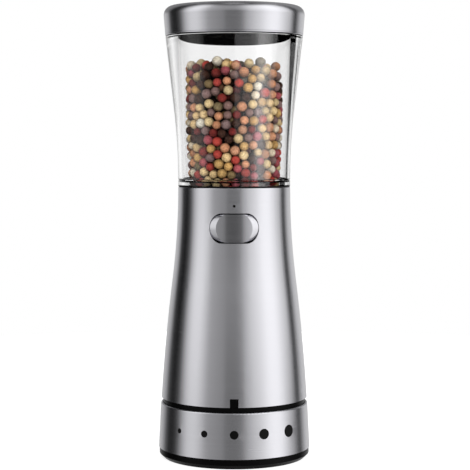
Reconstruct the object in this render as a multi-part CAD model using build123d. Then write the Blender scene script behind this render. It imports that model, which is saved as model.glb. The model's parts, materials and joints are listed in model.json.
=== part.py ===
from build123d import *
import math
import os

# Electric pepper mill: a flared steel body with a push button, a clear container under a lift-off lid,
# and a grind adjuster round the foot. Millimetres, +Z up, standing on z = 0, with the button facing -Y.

# Outer heights, from the foot up
foot_height = 4.5
sleeve_height = 20.05
collar_gap = 2.3
flare_height = 53.15
container_ring_height = 2.8
glass_height = 63.35
lid_gap = 0.4
lid_height = 13.15

# Steps between the outer radii, which start from what the waist and the burrs hold
waist_room = 0.9
flare_step = 2.6
shell_room = 5.6
sleeve_step = 0.3
sleeve_taper = 1.0
foot_step = 0.3
foot_bevel = 1.8
foot_width = 6.8
glass_bend_height = 32.1
glass_bend_step = 1.9
glass_top_step = 3.6
lid_step = 0.1
lid_taper = 1.0
lid_corner_radius = 4.0

# Walls
shell_wall = 0.8
sleeve_wall = 0.8
lid_wall = 0.8
moulding_wall = 1.2

# Clearances
seat_gap = 0.1
fit_gap = 0.15
slide_gap = 0.3
press_gap = 0.02
running_gap = 0.05

# Edges and small grooves of the outer pieces
shell_edge_radius = 0.4
sleeve_edge_share = 0.85
glass_edge = 0.3
rim_edge_radius = 0.8
hem_height = 0.8
hem_groove = 0.15

# Clear container
bore_inset = 1.9
bore_taper = 2.4
ring_bore_step = 2.6
neck_inset = 2.5
neck_height = 7.0
spigot_wall = 1.4
spigot_length = 4.1
lug_reach = 0.8
lug_height = 1.5
lug_angle = 24.0
lug_count = 3
lug_start_angle = 90.0
lug_play_angle = 4.0
twist_angle = 30.0

# Lid liner
ceiling_thickness = 1.4
lid_seal_thickness = 0.7
stem_inset = 13.0

# Push button and circuit board
button_width = 21.2
button_height = 12.8
button_end = 5.2
button_top_room = 1.0
button_proud = 0.5
button_face_radius = 30.0
button_bevel_width = 4.75
button_bevel_height = 0.4
button_back = 3.15
button_side = 0.6
button_travel = 0.8
button_pocket_room = 0.7
button_wall = 1.55
button_face_thickness = 1.65
button_tab_width = 12.0
button_tab_reach = 1.4
button_tab_thickness = 0.9
post_radius = 1.5
button_room = 0.7
board_width = 18.0
board_height = 36.0
board_thickness = 1.0
switch_size = 5.2
plunger_radius = 1.3
button_spring_radius = 1.0
button_spring_wire = 0.2
button_spring_turns = 3
button_spring_room = 0.8

# Indicator
indicator_radius = 0.6
light_pipe_head_radius = 0.85
light_pipe_head_length = 1.4
led_width = 1.8
led_height = 1.2
led_depth = 0.9
board_top_margin = 0.7
board_room = 0.2

# Grind adjuster
notch_width = 3.7
notch_height = 3.75
dot_height = 10.7
dot_count = 5
smallest_dot = 2.2
dot_growth = 0.8
dot_step_angle = 22.8
core_wall = 1.6
core_floor = 2.0
core_floor_height = 1.55
hub_wall = 2.0
skirt_wall = 1.6
skirt_length = 9.35
ring_width = 3.0
ring_thickness = 1.2
ring_groove = 0.8

# Index collar and throat funnel
ledge_height = 2.15
ledge_inset = 0.7
plate_thickness = 3.15
collar_rim_height = 6.5
collar_rim_wall = 1.4
funnel_rim_height = 5.5
funnel_lip = 1.6
throat_inset = 2.15
throat_drop = 0.35
funnel_wall = 1.8
boss_count = 3
boss_start_angle = 90.0
boss_radius = 2.6
boss_room = 0.85
screw_radius = 1.25
screw_head_radius = 2.3
screw_head_height = 1.5

# Burrs
holder_lift = 2.45
holder_lip = 1.4
holder_wall = 2.0
burr_ring_height = 11.4
burr_ring_wall = 2.8
burr_gap = 0.6
burr_groove = 0.9
burr_ring_teeth = 20
burr_ring_flare = 1.0
burr_taper = 0.3
cone_lift = 2.0
cone_height = 16.0
cone_radius = 13.8
cone_top_radius = 5.4
cone_skirt = 4.0
flute_count = 8
flute_depth = 1.5
flute_slant = 18.0
flute_start = 0.5
flute_length = 2.2
key_width = 3.6
key_height = 2.0
key_count = 3
key_start_angle = 30.0
shaft_width = 4.5
washer_radius = 6.0
washer_thickness = 0.7
burr_screw_radius = 1.3
burr_screw_length = 8.0
burr_screw_head_radius = 3.4
burr_screw_head_height = 1.8
burr_spring_wire = 0.45
burr_spring_turns = 5

# Planetary gearbox, two like stages
gear_module = 0.5
pressure_angle = 25.0
sun_teeth = 12
planet_teeth = 15
planet_count = 3
addendum_share = 0.84
dedendum_share = 1.16
tooth_thinning = 0.06
case_wall = 0.92
case_floor = 2.5
axial_play = 0.4
carrier_gap = 0.48
carrier_thickness = 1.6
pin_radius = 1.0
first_gear_width = 5.0
second_gear_width = 5.5
case_headroom = 3.3
motor_plate_thickness = 1.5
output_hub_wall = 0.68
output_hub_length = 5.0
bush_wall = 1.0

# Motor
can_length = 27.0
can_wall = 0.7
motor_shaft_radius = 1.0
motor_bush_radius = 3.0
motor_bush_length = 2.5
magnet_thickness = 2.0
magnet_angle = 120.0
magnet_margin = 2.5
air_gap = 0.5
armature_length = 14.0
armature_slots = 5
slot_width = 1.4
slot_depth = 3.4
commutator_radius = 2.4
commutator_length = 3.0
end_bell_thickness = 2.0
end_bell_plug = 2.0
terminal_width = 2.0
terminal_thickness = 0.5
terminal_height = 3.4
terminal_offset = 4.5
motor_screw_inset = 4.5
motor_screw_radius = 1.0
motor_screw_head_radius = 1.9
motor_screw_head_height = 1.2

# Chassis
tube_wall = 1.15
deck_thickness = 2.5
deck_headroom = 4.0
chute_inset = 1.8
chute_angle = 54.0
chute_side_angle = 3.0
chute_wall = 1.0
lead_radius = 0.55
supply_lead_offset = 1.7
lead_drop = 1.1
board_rib_height = 3.0
board_rib_width = 6.0
board_screw_radius = 0.8
board_screw_length = 4.0
board_screw_head_radius = 1.4
board_screw_head_height = 0.5
board_screw_offset = 7.5

# Hopper over the chutes
hopper_height = 17.05
hopper_inset = 1.1
hopper_outlet_depth = 10.0
hopper_flange = 1.3
hopper_drop = 1.6
roof_height = 11.0
roof_thickness = 2.4
seal_gap = 0.2

# AAA cells
cell_radius = 5.25
cell_length = 44.5
cell_nub_radius = 1.9
cell_nub_length = 1.0
cell_count = 3
cell_step = 35.0
contact_thickness = 0.4
contact_radius = 4.0
spring_leaf_height = 4.5
spring_leaf_width = 4.0
cover_thickness = 1.4
cover_margin_angle = 15.0
cover_hopper_gap = 1.5

# Levels along Z, worked out from the sizes above
sleeve_bottom = foot_height
sleeve_top = sleeve_bottom + sleeve_height
shell_bottom = sleeve_top + collar_gap
flare_level = shell_bottom + flare_height
collar_bottom = shell_bottom - ledge_height
plate_top = collar_bottom + plate_thickness
throat_bottom = collar_bottom - throat_drop
holder_bottom = core_floor_height + holder_lift
cone_bottom = holder_bottom + cone_lift
collar_rim_top = plate_top + collar_rim_height
funnel_top = collar_rim_top + funnel_rim_height
lower_deck_top = funnel_top + deck_thickness
gear_floor = lower_deck_top + case_floor
second_carrier_bottom = gear_floor + axial_play
second_gear_bottom = second_carrier_bottom + carrier_thickness + axial_play
first_carrier_bottom = second_gear_bottom + second_gear_width + axial_play
first_gear_bottom = first_carrier_bottom + carrier_thickness + axial_play
case_top = first_gear_bottom + first_gear_width + case_headroom
can_bottom = case_top + motor_plate_thickness
can_top = can_bottom + can_length
cell_bottom = lower_deck_top + spring_leaf_height
cell_top = cell_bottom + cell_length
deck_over_motor = can_top + deck_headroom + deck_thickness
deck_over_cells = cell_top + contact_thickness + cover_thickness
upper_deck_top = max(deck_over_motor, deck_over_cells)
upper_deck_bottom = upper_deck_top - deck_thickness
lead_level = upper_deck_top - lead_drop
hopper_top = upper_deck_top + hopper_height
spigot_bottom = hopper_top + hopper_drop
ring_bottom = spigot_bottom + spigot_length
shell_top = ring_bottom - seat_gap
ring_top = ring_bottom + container_ring_height
glass_bottom = ring_top + seat_gap
glass_bend_level = glass_bottom + glass_bend_height
glass_top = glass_bottom + glass_height
neck_top = glass_top + neck_height
lid_bottom = glass_top + lid_gap
lid_top = lid_bottom + lid_height
ceiling_bottom = neck_top + seat_gap + lid_seal_thickness
board_top = hopper_top - hopper_flange - board_room
board_bottom = board_top - board_height
indicator_level = board_top - board_top_margin
button_top = indicator_level - light_pipe_head_radius - button_tab_reach - button_top_room
button_level = button_top - button_height / 2
hub_bottom = second_carrier_bottom - output_hub_length
cone_top = cone_bottom + cone_height

# Switch and board depths worked out from the button travel
switch_height = button_travel + 2 * seat_gap
plunger_height = button_travel + seat_gap
board_inset = button_back + button_travel + button_room

# Radii worked out from the sizes above
tooth_addendum = addendum_share * gear_module
tooth_dedendum = dedendum_share * gear_module
sun_radius = gear_module * sun_teeth / 2
planet_radius = gear_module * planet_teeth / 2
planet_circle = sun_radius + planet_radius
ring_teeth = sun_teeth + 2 * planet_teeth
ring_radius = gear_module * ring_teeth / 2
carrier_radius = ring_radius - tooth_addendum - carrier_gap
case_radius = ring_radius + tooth_dedendum + case_wall
output_hub_radius = shaft_width / math.sqrt(2) + 2 * seat_gap + output_hub_wall
motor_screw_offset = case_radius - motor_screw_inset
tube_bore = case_radius + fit_gap
tube_radius = tube_bore + tube_wall
cell_circle = tube_radius + slide_gap + cell_radius
burr_tip_radius = cone_radius + burr_gap
burr_ring_radius = burr_tip_radius + burr_ring_wall
holder_bore = burr_ring_radius + fit_gap
holder_radius = holder_bore + holder_wall
hub_bore = holder_radius + slide_gap
hub_radius = hub_bore + hub_wall
throat_radius = holder_bore - throat_inset
throat_outer = throat_radius + moulding_wall
armature_radius = case_radius - can_wall - magnet_thickness - air_gap
waist_radius = tube_radius + slide_gap + 2 * cell_radius + waist_room
flare_radius = waist_radius + flare_step
boss_circle_radius = hub_radius + slide_gap + skirt_wall + boss_radius + boss_room
shell_bottom_radius = boss_circle_radius + shell_room
sleeve_top_radius = shell_bottom_radius + sleeve_step
sleeve_bottom_radius = sleeve_top_radius + sleeve_taper
foot_radius = sleeve_bottom_radius - foot_step
foot_floor_radius = foot_radius - foot_bevel
foot_lip_radius = foot_floor_radius - foot_width
glass_bend_radius = waist_radius + glass_bend_step
glass_top_radius = glass_bend_radius + glass_top_step
lid_bottom_radius = glass_top_radius + lid_step
lid_radius = lid_bottom_radius + lid_taper
bore_bottom_radius = waist_radius - bore_inset
bore_top_radius = bore_bottom_radius + bore_taper
ring_bore_radius = bore_bottom_radius - ring_bore_step
neck_radius = glass_top_radius - neck_inset
stem_radius = neck_radius - stem_inset
spigot_radius = ring_bore_radius + spigot_wall
hopper_top_radius = ring_bore_radius - hopper_inset
chute_radius = waist_radius - chute_inset
funnel_mouth_radius = chute_radius + funnel_lip
button_spring_offset = switch_size / 2 + button_spring_radius + button_spring_wire + button_spring_room
button_pocket_half = button_spring_offset + button_spring_radius + button_spring_wire + button_pocket_room


def turned(*points):
    """Solid of revolution about Z from a closed outline of (radius, height) points."""
    return revolve(Plane.XZ * make_face(Polyline(*points, close=True)), Axis.Z)


def turned_edges(*edges):
    """Solid of revolution about Z from joined edges drawn as (radius, height)."""
    return revolve(Plane.XZ * make_face(Curve() + list(edges)), Axis.Z)


def tube(outer, inner, bottom, top):
    return turned((inner, bottom), (outer, bottom), (outer, top), (inner, top))


def rod(radius, bottom, top, x=0.0, y=0.0):
    upright = Cylinder(radius, top - bottom, align=(Align.CENTER, Align.CENTER, Align.MIN))
    return Pos(x, y, bottom) * upright


def rod_along_y(radius, start, end, x=0.0, z=0.0):
    lying = Rot(-90, 0, 0) * Cylinder(radius, end - start, align=(Align.CENTER, Align.CENTER, Align.MIN))
    return Pos(x, start, z) * lying


def block(low, high):
    size = [b - a for a, b in zip(low, high)]
    return Pos(*low) * Box(*size, align=(Align.MIN, Align.MIN, Align.MIN))


def sector(outer, inner, bottom, top, centre, width):
    """Slice of a tube, width degrees wide, centred on the given direction."""
    section = Polyline((inner, bottom), (outer, bottom), (outer, top), (inner, top), close=True)
    return Rot(0, 0, centre - width / 2) * revolve(Plane.XZ * make_face(section), Axis.Z, width)


def spaced(count, start=0.0):
    """Directions in degrees, evenly spread round a circle."""
    return [start + 360.0 * i / count for i in range(count)]


def polar(radius, angle):
    return radius * math.cos(math.radians(angle)), radius * math.sin(math.radians(angle))


def flare_arcs(inset):
    """The body's S-curve from waist to lower edge, moved inward by inset."""
    waist = (waist_radius - inset, shell_top)
    middle = (flare_radius - inset, flare_level)
    lower = (shell_bottom_radius - inset, shell_bottom)
    upper_arc = TangentArc(waist, middle, tangent=(0, -1))
    lower_arc = TangentArc(middle, lower, tangent=upper_arc % 1)
    return upper_arc, lower_arc


def flare_radius_at(level, inset=0.0):
    """Radius of the S-curve at a height between its ends."""
    upper_arc, lower_arc = flare_arcs(inset)
    arc = upper_arc if level >= flare_level else lower_arc
    centre = arc.arc_center
    reach = math.sqrt(arc.radius ** 2 - (level - centre.Y) ** 2)
    return centre.X - reach if centre.X > flare_radius else centre.X + reach


def flare_solid(inset):
    """Solid bounded by the S-curve, closed on the axis."""
    upper_arc, lower_arc = flare_arcs(inset)
    bottom = Polyline(lower_arc @ 1, (0, shell_bottom), (0, shell_top), upper_arc @ 0)
    return turned_edges(upper_arc, lower_arc, *bottom.edges())


def sleeve_solid(inset):
    """Solid cone under the adjuster sleeve's surface, moved inward by inset."""
    return turned(
        (0, sleeve_bottom),
        (sleeve_bottom_radius - inset, sleeve_bottom),
        (sleeve_top_radius - inset, sleeve_top),
        (0, sleeve_top),
    )


def pill(width, height, end):
    """Button outline: straight top and bottom, elliptical ends."""
    half = width / 2 - end
    right = EllipticalCenterArc((half, 0), end, height / 2, -90, arc_size=180)
    left = EllipticalCenterArc((-half, 0), end, height / 2, 90, arc_size=180)
    top = Line(right @ 1, left @ 0)
    bottom = Line(left @ 1, right @ 0)
    return make_face(Curve() + [right, top, left, bottom])


def facing_front(depth, level):
    """Plane that looks out of the mill's front, depth in front of the axis."""
    return Plane(origin=(0, -depth, level), x_dir=(1, 0, 0), z_dir=(0, -1, 0))


def involute(angle):
    return math.tan(angle) - angle


def gear_face(teeth, addendum, dedendum, thickness_change):
    """Involute gear outline with one tooth centred on +X."""
    pitch = gear_module * teeth / 2
    base = pitch * math.cos(math.radians(pressure_angle))
    tip = pitch + addendum
    root = pitch - dedendum
    half_tooth = math.pi / (2 * teeth) + thickness_change / (2 * pitch)
    half_base = half_tooth + involute(math.radians(pressure_angle))
    flank_start = max(base, root)
    flank = [flank_start, pitch, tip]
    half = [(radius, half_base - involute(math.acos(base / radius))) for radius in flank]
    if root < base:
        half.insert(0, (root, half_base))
    points = []
    for i in range(teeth):
        centre = 2 * math.pi * i / teeth
        rising = [(radius, centre - angle) for radius, angle in half]
        falling = [(radius, centre + angle) for radius, angle in reversed(half)]
        for radius, angle in rising + falling:
            points.append((radius * math.cos(angle), radius * math.sin(angle)))
    return make_face(Polyline(*points, close=True))


def gear(teeth, bottom, width):
    face = gear_face(teeth, tooth_addendum, tooth_dedendum, -tooth_thinning)
    return Pos(0, 0, bottom) * extrude(face, width)


def coil_spring(mean_radius, wire_radius, turns, length):
    """Helical spring of square wire along +Z from z = 0, wire ends inside its length."""
    pitch = (length - 2 * wire_radius) / turns
    path = Helix(pitch, pitch * turns, mean_radius, center=(0, 0, wire_radius))
    upright = Plane(origin=path @ 0, x_dir=(1, 0, 0), z_dir=path % 0)
    side = wire_radius * math.sqrt(2)
    return sweep(upright * Rectangle(side, side), path=path, is_frenet=True)


# Lid

def make_lid_cap():
    outer_face = make_face(
        Polyline(
            (0, lid_bottom),
            (lid_bottom_radius, lid_bottom),
            (lid_radius, lid_top),
            (0, lid_top),
            close=True,
        )
    )
    corner = outer_face.vertices().sort_by(Axis.Y)[-2:].sort_by(Axis.X)[-1]
    outer = revolve(Plane.XZ * fillet(corner, lid_corner_radius), Axis.Z)
    inner_face = make_face(
        Polyline(
            (0, lid_bottom),
            (lid_bottom_radius - lid_wall, lid_bottom),
            (lid_radius - lid_wall, lid_top - lid_wall),
            (0, lid_top - lid_wall),
            close=True,
        )
    )
    inner_corner = inner_face.vertices().sort_by(Axis.Y)[-2:].sort_by(Axis.X)[-1]
    inner = revolve(Plane.XZ * fillet(inner_corner, lid_corner_radius - lid_wall), Axis.Z)
    groove_level = lid_bottom + hem_height
    groove = turned(
        (lid_radius, groove_level - 2 * hem_groove),
        (lid_bottom_radius - hem_groove, groove_level),
        (lid_radius, groove_level + 2 * hem_groove),
    )
    cap = outer - inner - groove
    rim = cap.edges().group_by(Axis.Z)[0].sort_by(SortBy.RADIUS)[-1]
    return fillet(rim, lid_wall / 2)


def make_lid_liner():
    skirt_outer = lid_bottom_radius - lid_wall - slide_gap
    skirt_inner = neck_radius + slide_gap
    bottom = glass_top + seat_gap
    flange = tube(lid_bottom_radius - lid_wall / 2, skirt_inner, bottom, lid_bottom - seat_gap)
    skirt = tube(skirt_outer, skirt_inner, bottom, ceiling_bottom)
    ceiling = rod(skirt_outer, ceiling_bottom, ceiling_bottom + ceiling_thickness)
    stem = tube(stem_radius, stem_radius - moulding_wall, ceiling_bottom, lid_top - lid_wall)
    return flange + skirt + ceiling + stem


def make_lid_seal():
    return tube(neck_radius, bore_top_radius + slide_gap, neck_top + seat_gap, ceiling_bottom)


# Container

def make_container():
    bend = (glass_bend_radius, glass_bend_level)
    start = (waist_radius, glass_bottom + glass_edge)
    wall = TangentArc(start, bend, tangent=(0, 1))
    rest = Polyline(
        bend,
        (glass_top_radius, glass_top),
        (neck_radius, glass_top),
        (neck_radius, neck_top),
        (bore_top_radius, neck_top),
        (bore_bottom_radius, glass_bottom),
        (waist_radius - glass_edge, glass_bottom),
        start,
    )
    glass = turned_edges(wall, *rest.edges())
    rim = glass.edges().group_by(Axis.Z)[-1]
    return fillet(rim, rim_edge_radius)


def make_container_ring():
    ring = turned(
        (ring_bore_radius, spigot_bottom),
        (spigot_radius, spigot_bottom),
        (spigot_radius, ring_bottom),
        (waist_radius - glass_edge, ring_bottom),
        (waist_radius, ring_bottom + glass_edge),
        (waist_radius, ring_top - glass_edge),
        (waist_radius - glass_edge, ring_top),
        (ring_bore_radius, ring_top),
    )
    lug_top = spigot_bottom + lug_height
    for direction in spaced(lug_count, lug_start_angle):
        inner = spigot_radius - lug_reach / 2
        ring += sector(spigot_radius + lug_reach, inner, spigot_bottom, lug_top, direction, lug_angle)
    return ring


def make_neck_ring():
    """Bayonet socket fixed in the top of the shell."""
    outer = waist_radius - shell_wall - fit_gap
    groove = spigot_radius + lug_reach + slide_gap
    ledge = spigot_radius + slide_gap
    ledge_bottom = spigot_bottom + lug_height + seat_gap
    ring = turned(
        (groove, hopper_top),
        (outer, hopper_top),
        (outer, shell_top - slide_gap),
        (ledge, shell_top - slide_gap),
        (ledge, ledge_bottom),
        (groove, ledge_bottom),
    )
    slot_angle = lug_angle + lug_play_angle
    for direction in spaced(lug_count, lug_start_angle + twist_angle):
        ring -= sector(groove, ledge - slide_gap, ledge_bottom, shell_top, direction, slot_angle)
    return ring


def make_container_seal():
    outer = spigot_radius + lug_reach
    return tube(outer, ring_bore_radius, hopper_top, spigot_bottom - seal_gap)


# Body

def make_body_shell():
    shell = flare_solid(0) - flare_solid(shell_wall)
    top_edge = shell.edges().group_by(Axis.Z)[-1].sort_by(SortBy.RADIUS)[-1]
    shell = fillet(top_edge, shell_edge_radius)
    opening = pill(button_width + 2 * fit_gap, button_height + 2 * fit_gap, button_end + fit_gap)
    shell -= extrude(facing_front(0, button_level) * opening, shell_bottom_radius)
    shell -= rod_along_y(indicator_radius, -shell_bottom_radius, 0, 0, indicator_level)
    half = notch_width / 2
    notch = block((-half, -shell_bottom_radius, shell_bottom), (half, 0, shell_bottom + notch_height))
    return shell - notch


def make_index_collar():
    ledge_radius = shell_bottom_radius - ledge_inset
    rim_radius = flare_radius_at(collar_rim_top, shell_wall) - fit_gap
    bore = hub_radius + slide_gap
    collar = turned(
        (bore, collar_bottom - skirt_length),
        (bore + skirt_wall, collar_bottom - skirt_length),
        (bore + skirt_wall, collar_bottom),
        (ledge_radius, collar_bottom),
        (ledge_radius, shell_bottom),
        (rim_radius, shell_bottom),
        (rim_radius, collar_rim_top),
        (rim_radius - collar_rim_wall, collar_rim_top),
        (rim_radius - collar_rim_wall, plate_top),
        (bore, plate_top),
    )
    half = notch_width / 2 - seat_gap
    pointer_top = shell_bottom + notch_height - seat_gap
    inner = rim_radius - collar_rim_wall / 2
    pointer = block((-half, -shell_bottom_radius, shell_bottom), (half, -inner, pointer_top))
    collar += pointer & flare_solid(0)
    for direction in spaced(boss_count, boss_start_angle):
        x, y = polar(boss_circle_radius, direction)
        collar -= rod(screw_radius + seat_gap, collar_bottom, plate_top, x, y)
    return collar


def make_throat_funnel():
    """Cone that gathers the pepper from both chutes into the burrs."""
    rim_radius = flare_radius_at(funnel_top, shell_wall) - fit_gap
    rim_inner = rim_radius - moulding_wall
    cone_foot = plate_top + seat_gap
    funnel = turned(
        (throat_radius, throat_bottom),
        (throat_outer, throat_bottom),
        (throat_outer, cone_foot),
        (funnel_mouth_radius, funnel_top - funnel_wall),
        (rim_inner, funnel_top - funnel_wall),
        (rim_inner, collar_rim_top),
        (rim_radius, collar_rim_top),
        (rim_radius, funnel_top),
        (funnel_mouth_radius, funnel_top),
        (throat_radius, cone_foot),
    )
    for direction in spaced(boss_count, boss_start_angle):
        x, y = polar(boss_circle_radius, direction)
        funnel += rod(boss_radius, plate_top, funnel_top, x, y)
        funnel -= rod(screw_radius, plate_top, funnel_top, x, y)
    for direction in spaced(key_count, key_start_angle):
        slot = key_width + 2 * fit_gap
        cutter = block((0, -slot / 2, throat_bottom), (hub_bore, slot / 2, cone_foot))
        funnel -= Rot(0, 0, direction) * cutter
    return funnel


def make_chassis_screws():
    screws = []
    for direction in spaced(boss_count, boss_start_angle):
        x, y = polar(boss_circle_radius, direction)
        head = rod(screw_head_radius, collar_bottom - screw_head_height, collar_bottom, x, y)
        shank = rod(screw_radius - press_gap, collar_bottom, lower_deck_top - moulding_wall, x, y)
        screws.append(head + shank)
    return screws


# Chassis

def cell_places():
    first = 90 - cell_step * (cell_count - 1) / 2
    return [polar(cell_circle, first + cell_step * i) for i in range(cell_count)]


def board_back():
    return flare_radius_at(button_level) - board_inset - board_thickness


def make_chassis():
    lower_radius = flare_radius_at(lower_deck_top, shell_wall) - slide_gap
    upper_radius = flare_radius_at(upper_deck_top, shell_wall) - slide_gap
    frame = rod(lower_radius, funnel_top, lower_deck_top)
    frame += rod(upper_radius, upper_deck_bottom, upper_deck_top)
    frame += rod(tube_radius, funnel_top, upper_deck_top)
    for direction in (0, 180):
        outer = chute_radius + chute_wall
        wide = chute_angle + 2 * chute_side_angle
        frame += sector(outer, tube_bore, funnel_top, upper_deck_top, direction, wide)
        frame -= sector(chute_radius, tube_radius, funnel_top, upper_deck_top, direction, chute_angle)
    frame -= rod(tube_bore, lower_deck_top, upper_deck_top)
    frame -= rod(output_hub_radius + bush_wall + slide_gap, funnel_top, lower_deck_top)
    for x, y in cell_places():
        frame -= rod(cell_radius + fit_gap, upper_deck_bottom, upper_deck_top, x, y)
    for direction in spaced(boss_count, boss_start_angle):
        x, y = polar(boss_circle_radius, direction)
        frame -= rod(screw_radius, funnel_top, lower_deck_top, x, y)
    back = board_back()
    front_corner = (-upper_radius, -upper_radius, upper_deck_bottom)
    frame -= block(front_corner, (upper_radius, -back, upper_deck_top))
    half = board_rib_width / 2
    rib_top = board_bottom + board_rib_height
    rib = block((-half, -back, board_bottom), (half, -tube_radius + tube_wall / 2, rib_top))
    frame += rib - rod(tube_bore, board_bottom, rib_top)
    for x in (-terminal_offset, -supply_lead_offset, supply_lead_offset, terminal_offset):
        groove = lead_radius + fit_gap
        end = cell_circle if abs(x) == supply_lead_offset else 0
        frame -= block((x - groove, -back, lead_level - groove), (x + groove, end, upper_deck_top))
    for x, z in board_screw_places():
        frame -= rod_along_y(board_screw_radius, -back, -back + board_screw_length, x, z)
    return frame


def board_screw_places():
    deck_level = (upper_deck_bottom + upper_deck_top) / 2
    rib_level = board_bottom + board_rib_height / 2
    return [(-board_screw_offset, deck_level), (board_screw_offset, deck_level), (0, rib_level)]


def make_hopper():
    """Funnel from the container's bore to the two chutes, with a roof over the motor."""
    outlet = chute_radius - chute_wall / 2
    flange_radius = flare_radius_at(hopper_top, shell_wall) - slide_gap
    top = Plane.XY.offset(hopper_top)
    bottom = Plane.XY.offset(upper_deck_top)
    outer_foot = Ellipse(outlet + moulding_wall, hopper_outlet_depth + moulding_wall)
    outer = loft([bottom * outer_foot, top * Circle(hopper_top_radius + moulding_wall)])
    inner = loft([bottom * Ellipse(outlet, hopper_outlet_depth), top * Circle(hopper_top_radius)])
    flange = tube(flange_radius, hopper_top_radius, hopper_top - hopper_flange, hopper_top)
    slope = Polyline(
        (-tube_radius, upper_deck_top),
        (0, upper_deck_top + roof_height),
        (tube_radius, upper_deck_top),
        close=True,
    )
    lower_slope = Polyline(
        (-tube_bore + moulding_wall, upper_deck_top),
        (0, upper_deck_top + roof_height - roof_thickness),
        (tube_bore - moulding_wall, upper_deck_top),
        close=True,
    )
    roof = extrude(Plane.XZ * make_face(slope), hopper_top_radius, both=True) & inner
    hollow = extrude(Plane.XZ * make_face(lower_slope), hopper_outlet_depth - moulding_wall, both=True)
    return (outer - inner) + (flange - inner) + (roof - hollow)


def make_battery_cover():
    outer = flare_radius_at(upper_deck_top + cover_thickness, shell_wall) - slide_gap
    inner = tube_radius + slide_gap
    width = cell_step * (cell_count - 1) + 2 * cover_margin_angle
    top = upper_deck_top + cover_thickness
    cover = sector(outer, inner, upper_deck_top, top, 90, width)
    room = moulding_wall + cover_hopper_gap
    hopper_room = Ellipse(chute_radius + room, hopper_outlet_depth + room)
    cover -= Pos(0, 0, upper_deck_top) * extrude(hopper_room, cover_thickness)
    for x, y in cell_places():
        cover += rod(contact_radius + fit_gap, cell_top + contact_thickness, upper_deck_top, x, y)
    return cover


def make_upper_contacts():
    return [rod(contact_radius, cell_top, cell_top + contact_thickness, x, y) for x, y in cell_places()]


def make_lower_contacts():
    """Leaf springs under the cells."""
    leaf = Polyline(
        (-contact_radius, 0),
        (contact_radius, 0),
        (contact_radius, contact_thickness),
        (-contact_radius / 2, contact_thickness),
        (contact_radius / 2, spring_leaf_height - contact_thickness),
        (contact_radius / 2, spring_leaf_height),
        (-contact_radius / 2, spring_leaf_height),
        (-contact_radius, contact_thickness),
        close=True,
    )
    solid = extrude(Plane.XZ * make_face(leaf), spring_leaf_width / 2, both=True)
    return [Pos(x, y, lower_deck_top) * solid for x, y in cell_places()]


def make_cell(place, nub_up):
    x, y = place
    body_length = cell_length - cell_nub_length
    bottom = cell_bottom if nub_up else cell_bottom + cell_nub_length
    cell = rod(cell_radius, bottom, bottom + body_length, x, y)
    return cell + rod(cell_nub_radius, cell_bottom, cell_top, x, y)


def make_supply_leads():
    x, y = cell_places()[cell_count // 2]
    near_side = supply_lead_offset - lead_radius
    end = y - math.sqrt((contact_radius + fit_gap) ** 2 - near_side ** 2) - seat_gap
    return [
        rod_along_y(lead_radius, -board_back(), end, side * supply_lead_offset, lead_level)
        for side in (-1, 1)
    ]


def make_motor_leads():
    return [
        rod_along_y(lead_radius, -board_back(), -terminal_offset - terminal_thickness,
                    side * terminal_offset, lead_level)
        for side in (-1, 1)
    ]


# Circuit board and button

def board_front():
    return flare_radius_at(button_level) - board_inset


def make_circuit_board():
    half = board_width / 2
    board = block((-half, -board_front(), board_bottom), (half, -board_back(), board_top))
    for x, z in board_screw_places():
        board -= rod_along_y(board_screw_radius, -board_front(), -board_back(), x, z)
    return board


def make_board_screws():
    screws = []
    for x, z in board_screw_places():
        front = -board_front()
        head = rod_along_y(board_screw_head_radius, front - board_screw_head_height, front, x, z)
        end = front + board_screw_length
        screws.append(head + rod_along_y(board_screw_radius - press_gap, front, end, x, z))
    return screws


def make_switch_body():
    half = switch_size / 2
    front = -board_front() - switch_height
    body = block((-half, front, button_level - half), (half, -board_front(), button_level + half))
    bore = rod_along_y(plunger_radius + fit_gap, front, -board_front() - seat_gap, 0, button_level)
    return body - bore


def make_switch_plunger():
    front = -board_front() - switch_height
    return rod_along_y(plunger_radius, front - plunger_height, front, 0, button_level)


def make_button_cap():
    surface = flare_radius_at(button_level)
    face_depth = surface + button_proud
    back_depth = surface - button_back
    side_depth = back_depth + button_side
    full = pill(button_width, button_height, button_end)
    small = pill(
        button_width - 2 * button_bevel_width,
        button_height - 2 * button_bevel_height,
        button_end - button_bevel_width / 2,
    )
    sides = extrude(facing_front(back_depth, button_level) * full, button_side)
    front = loft([
        facing_front(side_depth, button_level) * full,
        facing_front(face_depth + button_proud, button_level) * small,
    ])
    bottom = button_level - button_height
    face = rod(button_face_radius, bottom, button_level + button_height, 0, button_face_radius - face_depth)
    cap = (sides + front) & face
    pocket_x = button_pocket_half
    pocket_z = button_height / 2 - button_wall
    ceiling = -face_depth + button_face_thickness
    cap -= block((-pocket_x, ceiling, button_level - pocket_z), (pocket_x, 0, button_level + pocket_z))
    tab_x = button_tab_width / 2
    tab_z = button_height / 2 + button_tab_reach
    tab_front = -back_depth - button_tab_thickness
    for side in (-1, 1):
        near = button_level + side * (pocket_z + moulding_wall / 2)
        far = button_level + side * tab_z
        cap += block((-tab_x, tab_front, min(near, far)), (tab_x, -back_depth, max(near, far)))
    post_end = -board_front() - switch_height - plunger_height
    return cap + rod_along_y(post_radius, ceiling, post_end, 0, button_level)


def make_button_springs():
    ceiling = flare_radius_at(button_level) + button_proud - button_face_thickness
    length = ceiling - board_front()
    spring = coil_spring(button_spring_radius, button_spring_wire, button_spring_turns, length)
    upright = Rot(90, 0, 0) * spring
    return [
        Pos(side * button_spring_offset, -board_front(), button_level) * upright
        for side in (-1, 1)
    ]


def make_indicator_led():
    half = led_width / 2
    low = (-half, -board_front() - led_depth, indicator_level - led_height / 2)
    return block(low, (half, -board_front(), indicator_level + led_height / 2))


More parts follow.
